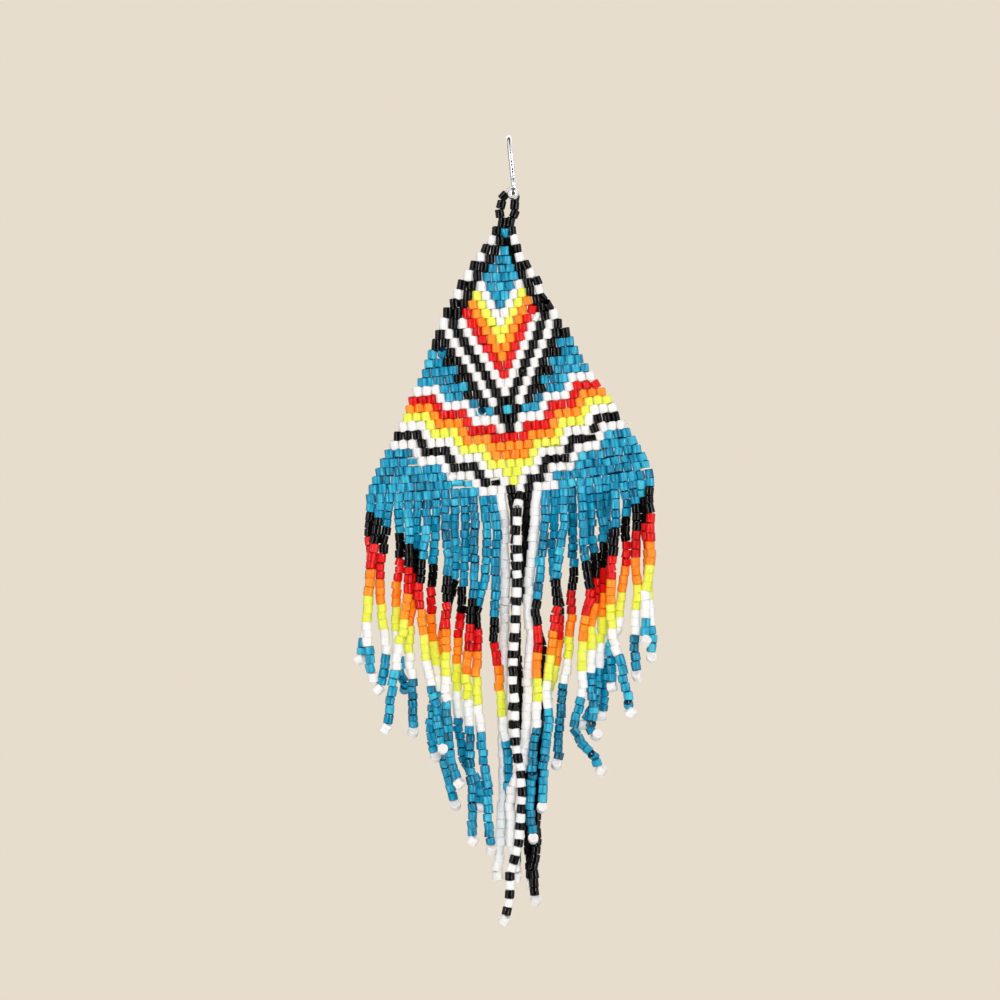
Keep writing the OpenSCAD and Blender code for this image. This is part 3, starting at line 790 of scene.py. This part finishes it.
def swept_thread(route, thickness, sides, slot):
    """The mesh of a round thread swept along a route of points."""
    bm = bmesh.new()
    last = len(route) - 1
    heads = [(route[min(i + 1, last)] - route[max(i - 1, 0)]).normalized() for i in range(last + 1)]
    start = Matrix.Translation(route[0]) @ heads[0].to_track_quat("Z", "Y").to_matrix().to_4x4()
    bmesh.ops.create_circle(bm, cap_ends=True, segments=sides, radius=thickness / 2, matrix=start)
    ring = list(bm.edges)
    for i in range(last):
        grown = bmesh.ops.extrude_edge_only(bm, edges=ring)["geom"]
        moved = [part for part in grown if isinstance(part, bmesh.types.BMVert)]
        ring = [part for part in grown if isinstance(part, bmesh.types.BMEdge) and part.is_boundary]
        turn = heads[i].rotation_difference(heads[i + 1]).to_matrix().to_4x4()
        step = Matrix.Translation(route[i + 1]) @ turn @ Matrix.Translation(-route[i])
        bmesh.ops.transform(bm, matrix=step, verts=moved)
    bmesh.ops.contextual_create(bm, geom=ring)
    bmesh.ops.recalc_face_normals(bm, faces=bm.faces)
    for face in bm.faces:
        face.material_index = slot
        face.smooth = True
    return mesh_from(bm, "thread")


def piece_from(bm, name, finishes):
    """A piece at the origin from a finished bmesh, riding on the drop."""
    shape = mesh_from(bm, name)
    shape.set_sharp_from_angle(angle=math.radians(EDGE_ANGLE))
    piece = placed(name, shape)
    for finish in finishes:
        shape.materials.append(finish)
    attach(piece, DROP_BODY)
    return piece


# Operators

class EARRING_OT_ear_hook(bpy.types.Operator):
    """Give the ear hook its polished silver"""
    bl_idname = "earring.ear_hook"
    bl_label = "Polish the ear hook"

    def execute(self, context):
        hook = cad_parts["ear_hook"]
        hook.material_slots[0].material = silver_finish()
        return {"FINISHED"}


class EARRING_OT_bead_loop(bpy.types.Operator):
    """String the loop's beads on its doubled thread"""
    bl_idname = "earring.bead_loop"
    bl_label = "String the loop"

    def execute(self, context):
        beads, thread = context.scene.earring_beads, context.scene.earring_thread
        box = BeadBox(seed=3)
        for across, up, lean in LOOP_BEADS:
            box.add(in_plane(across * MM, up * MM), box.askew(turned(UP, lean, 0), *LOOP_ASKEW),
                    beads.loop_width, beads.loop_length, "black")
        loop = box.finish("loop_beads")
        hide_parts("bead_loop")
        bm = bmesh.new()
        for apart in (-0.5 * thread.hanging, 0.5 * thread.hanging):
            ply = swept_thread([in_plane(across * MM, up * MM + apart, apart) for across, up in LOOP_ROUTE],
                               thread.hanging, sides=8, slot=0)
            bm.from_mesh(ply)
            bpy.data.meshes.remove(ply)
        hanger = piece_from(bm, "hanging_thread", [thread_finish()])
        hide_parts("loop_thread")
        return {"FINISHED"}


class EARRING_OT_bead_panel(bpy.types.Operator):
    """Stitch the panel row by row, with the thread between its rows"""
    bl_idname = "earring.bead_panel"
    bl_label = "Stitch the panel"

    def execute(self, context):
        panel, thread = context.scene.earring_panel, context.scene.earring_thread
        box = BeadBox(seed=11)
        for row in range(1, panel.rows + 1):
            for count in range(row + 1):
                self.stitch(context, box, row, count)
        for row in range(1, panel.rows):
            stops = [bead_place(row, (count - row) / 2) for count in range(2 * row + 1)]
            depths = [SHOWN_DEPTH if box.chance.random() < SHOWN_SHARE else box.chance.uniform(*SEWN_DEPTH)
                      for _ in stops]
            box.add_thread([in_plane(across, up - panel.row_pitch / 2, depth * MM)
                            for (across, up), depth in zip(stops, depths)], thread.sewing)
        for loose in LOOSE_ENDS:
            box.add_thread([in_plane(across * MM, up * MM, LOOSE_DEPTH * MM) for across, up in loose],
                           thread.loose)
        piece = box.finish("panel_beads")
        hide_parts("bead_panel")
        return {"FINISHED"}

    def stitch(self, context, box, row, count):
        """One bead of the panel, squared to its row, leaning in at the ends, or askew."""
        panel, chance = context.scene.earring_panel, box.chance
        across = count - row / 2
        x, up = bead_place(row, across)
        reach = 2 * across / row
        end_lean = lookup([(entry[0], entry[1 if across < 0 else 2]) for entry in END_LEAN], row)
        axis = turned(UP, end_lean * reach * reach - lookup(ROW_TILT, row), 0)
        pitch = panel.pitch_left if across < 0 else panel.pitch_right
        width = max(pitch, pitch_at(row, across)) + chance.uniform(*PANEL_WIDTHS) * MM
        # A bead reaches half way to the rows above and below it
        furthest = (row - 1) / 2
        above = up + panel.row_pitch
        if row > 1:
            above = bead_place(row - 1, max(-furthest, min(furthest, across)))[1]
        below = bead_place(row + 1, across)[1]
        up = (above + 2 * up + below) / 4
        length = (above - below) / 2 * chance.uniform(*PANEL_LENGTHS)
        colour = panel_colour(row, across)
        # Beads that crowd together stand by turns a little in front and behind
        behind = -(-1) ** (row - count) * max(0, pitch - pitch_at(row, across)) * CROWD_DEPTH
        centre = in_plane(x, up, behind)
        centre += Vector([chance.gauss(0, spread) for spread in PANEL_STRAY]) * MM
        odd = [entry[2:] for entry in ODD_BEADS if entry[:2] == (row, count)]
        if odd:
            lean, nod, wide, long, *moved = odd[0]
            axis = turned(UP, lean, nod)
            width, length = width * wide, length * long
            centre += Vector((moved[0], moved[2], moved[1])) * MM
        else:
            slack = row > SLACK_ROW and across > SLACK_ACROSS
            axis = box.askew(axis, *(SLACK_ASKEW if slack else PANEL_ASKEW))
        box.add(centre, axis, width, length * (1 + PRESSED.get(colour, 1)) / 2, colour)


class EARRING_OT_fringe(bpy.types.Operator):
    """String the fringe, one piece for each strand"""
    bl_idname = "earring.fringe"
    bl_label = "String the fringe"

    def execute(self, context):
        for index in range(len(STRANDS)):
            self.string(context, index)
        return {"FINISHED"}

    def string(self, context, index):
        """One strand: its thread, its beads in their groups and its turned end bead."""
        name, groups = STRANDS[index][:2]
        beads, fringe = context.scene.earring_beads, context.scene.earring_fringe
        # The tones passed here are painted shade and painted light for some strands and for the fringe's
        # whites
        box = BeadBox(40 + index, STRAND_PAINTED_LIGHT_AND_SHADE.get(name, FRINGE_TONE), FRINGE_WHITE_PAINTED_LIGHT_TONE)
        chance = box.chance
        route = strand_route(index)
        lengths = lengths_along(route)

        def place(at):
            """Point of the strand at a length from its start."""
            point = point_along(route, lengths, at)
            drop = (route[0].z - point.z) / MM
            return point + FRONT * (lookup(FORWARD[name], drop) * MM if name in FORWARD else 0)

        colours = [colour for colour, count in groups for _ in range(count)]
        # The first bead closes the gap under the panel, and the last one rests on the end bead
        first = at = -START_RISE * fringe.top_gap
        end_at = lengths[-1] - fringe.end_rise
        room = end_at - END_REST * beads.end_width - first
        pitches = self.pitches(chance, groups, room, fringe.bead_pitch * BAND_STRETCH.get(name, 1))
        for colour, length in zip(colours, pitches):
            top, bottom = place(at), place(at + length)
            centre, axis = (top + bottom) / 2, (top - bottom).normalized()
            drop = route[0].z - centre.z
            odd = [entry[2:] for entry in ODD_FRINGE
                   if entry[0] == name and abs(entry[1] * MM - drop) <= length / 2]
            if odd:
                axis = turned(axis, *odd[0])
            else:
                axis = box.askew(axis, *(KINKED_ASKEW if chance.random() < KINKED_SHARE else FRINGE_ASKEW))
            centre += Vector([*(chance.gauss(0, spread) for spread in FRINGE_STRAY), 0]) * MM
            width = beads.strand_width + chance.uniform(*FRINGE_WIDTHS) * MM
            if groups[0][0] == "white":
                width += beads.wider
            # The beads of the middle strand keep their grooves
            pressed = 1 if name == "c" else PRESSED.get(colour, 1)
            box.add(centre, axis, width, length * pressed, colour)
            at += length
        self.end_bead(context, box, name, place(end_at))
        stops = [place(first + (at - first) * step / THREAD_STEPS) for step in range(THREAD_STEPS + 1)]
        box.add_thread(stops, context.scene.earring_thread.stringing)
        piece = box.finish(f"beads_{name}")
        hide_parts(f"strand_{name}")

    def pitches(self, chance, groups, room, usual):
        """Uneven lengths of a strand's beads; those of its last group take what the others leave."""
        last, before = groups[-2][1], sum(count for _, count in groups[:-2])
        last_pitch = room / (before + last)
        if groups[0][0] == "teal":
            least, greatest = (limit * MM for limit in LAST_GROUP_PITCH)
            last_pitch = min(max((room - before * usual) / last, least), greatest)
        lengths = []
        for count, space in ((before, room - last * last_pitch), (last, last * last_pitch)):
            shares = [chance.uniform(*FRINGE_LENGTHS) for _ in range(count)]
            lengths += [space * share / sum(shares) for share in shares]
        return lengths

    def end_bead(self, context, box, name, centre):
        """The bead that the thread is tied to, and the knot that fills its hole."""
        beads = context.scene.earring_beads
        up, front = END_MOVES.get(name, (0, 0))
        centre = centre + (UP * up + FRONT * front) * MM
        axis = turned(UP, *END_TURNS.get(name, ON_ITS_SIDE))
        colour = "teal" if name == TEAL_ENDED else "white"
        box.add(centre, axis, beads.end_width, beads.end_length, colour)
        knot = axis * beads.end_length * (DEEP_KNOT_REACH if name == DEEP_KNOTTED else KNOT_REACH)
        box.put_in(swept_thread([centre - knot, centre, centre + knot], beads.bore * KNOT_WIDTH, sides=8,
                                slot=FINISHES.index(colour)))


class EARRING_OT_stage(bpy.types.Operator):
    """Set up the floor, the pale air, the lights and the camera"""
    bl_idname = "earring.stage"
    bl_label = "Set up the studio"

    def execute(self, context):
        stage, scene = context.scene.earring_stage, context.scene
        scene.view_settings.view_transform = "Standard"
        self.floor(stage)
        self.air(stage)
        centre = Vector((stage.centre_x, scene.earring_panel.plane, stage.centre_z))
        for name, (place, sides, power, lights) in LAMPS.items():
            self.softbox(name, centre, Vector(place), sides, power, lights)
        self.camera(stage, centre)
        return {"FINISHED"}

    def floor(self, stage):
        """A wide round floor, which glows a little so that it looks as pale as the air."""
        bm = bmesh.new()
        bmesh.ops.create_circle(bm, cap_ends=True, segments=96, radius=2.0,
                                matrix=Matrix.Translation((0, 0, -stage.floor_drop)))
        floor = placed("floor", mesh_from(bm, "floor"))
        finish, tree, shader = new_finish("pale_floor")
        feed(tree, shader, Base_Color=shade(stage.pale, 0.3), Roughness=0.8,
             Emission_Color=shade(stage.pale), Emission_Strength=0.85)
        floor.data.materials.append(finish)

    def air(self, stage):
        """Even light from all round, and the pale air that the camera sees."""
        world = bpy.data.worlds.new("pale_air")
        world.use_nodes = True
        tree = world.node_tree
        glow = tree.nodes["Background"]
        feed(tree, glow, Color=(1, 0.985, 0.965, 1), Strength=stage.air_light)
        seen = add_node(tree, "ShaderNodeBackground", "Background", Color=shade(stage.pale))
        straight = add_node(tree, "ShaderNodeLightPath", "Is Camera Ray")
        either = tree.nodes.new("ShaderNodeMixShader")
        for output, socket in zip((straight, glow.outputs[0], seen), either.inputs):
            tree.links.new(output, socket)
        feed(tree, tree.nodes["World Output"], Surface=either.outputs[0])
        bpy.context.scene.world = world

    def softbox(self, name, centre, place, sides, power, lights):
        """A rectangle of soft light turned to the middle of the drop; lights is matte, gloss or both."""
        light = bpy.data.lights.new(name, "AREA")
        light.shape = "RECTANGLE"
        light.size, light.size_y = sides
        light.energy = power
        lamp = placed(name, light)
        lamp.location = centre + place
        lamp.rotation_euler = (-place).to_track_quat("-Z", "Y").to_euler()
        lamp.visible_camera = False
        lamp.visible_diffuse = lights != "gloss"
        lamp.visible_glossy = lights != "matte"

    def camera(self, stage, centre):
        """The camera in front, level with the middle of the drop."""
        lens = bpy.data.cameras.new("front_camera")
        lens.lens = stage.lens
        lens.sensor_width = 36.0
        lens.clip_start, lens.clip_end = 0.01, 10.0
        camera = placed("front_camera", lens)
        camera.location = centre + FRONT * stage.lens * stage.view_width / lens.sensor_width
        camera.rotation_euler = (math.pi / 2, 0, 0)
        bpy.context.scene.camera = camera


# Panel in the sidebar

MAKERS = (EARRING_OT_ear_hook, EARRING_OT_bead_loop, EARRING_OT_bead_panel, EARRING_OT_fringe,
          EARRING_OT_stage)
SETTINGS = {
    "earring_hook": EarringHookSettings,
    "earring_beads": EarringBeadSettings,
    "earring_panel": EarringPanelSettings,
    "earring_thread": EarringThreadSettings,
    "earring_fringe": EarringFringeSettings,
    "earring_stage": EarringStageSettings,
}


class EARRING_PT_sidebar(bpy.types.Panel):
    """The earring's settings and makers"""
    bl_idname = "EARRING_PT_sidebar"
    bl_label = "Fringe Earring"
    bl_space_type = "VIEW_3D"
    bl_region_type = "UI"
    bl_category = "Earring"

    def draw(self, context):
        for maker in MAKERS:
            self.layout.operator(maker.bl_idname)
        for name, group in SETTINGS.items():
            box = self.layout.box()
            settings = getattr(context.scene, name)
            for setting in group.__annotations__:
                box.prop(settings, setting)


def register():
    """Add the earring's settings, makers and sidebar to Blender."""
    for group in (*SETTINGS.values(), *MAKERS, EARRING_PT_sidebar):
        bpy.utils.register_class(group)
    for name, group in SETTINGS.items():
        setattr(bpy.types.Scene, name, bpy.props.PointerProperty(type=group))


def unregister():
    """Take them out again."""
    for name in SETTINGS:
        delattr(bpy.types.Scene, name)
    for group in reversed((*SETTINGS.values(), *MAKERS, EARRING_PT_sidebar)):
        bpy.utils.unregister_class(group)


def main():
    """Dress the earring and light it."""
    register()
    bpy.ops.earring.ear_hook()
    bpy.ops.earring.bead_loop()
    bpy.ops.earring.bead_panel()
    bpy.ops.earring.fringe()
    bpy.ops.earring.stage()


if __name__ == "__main__":
    main()
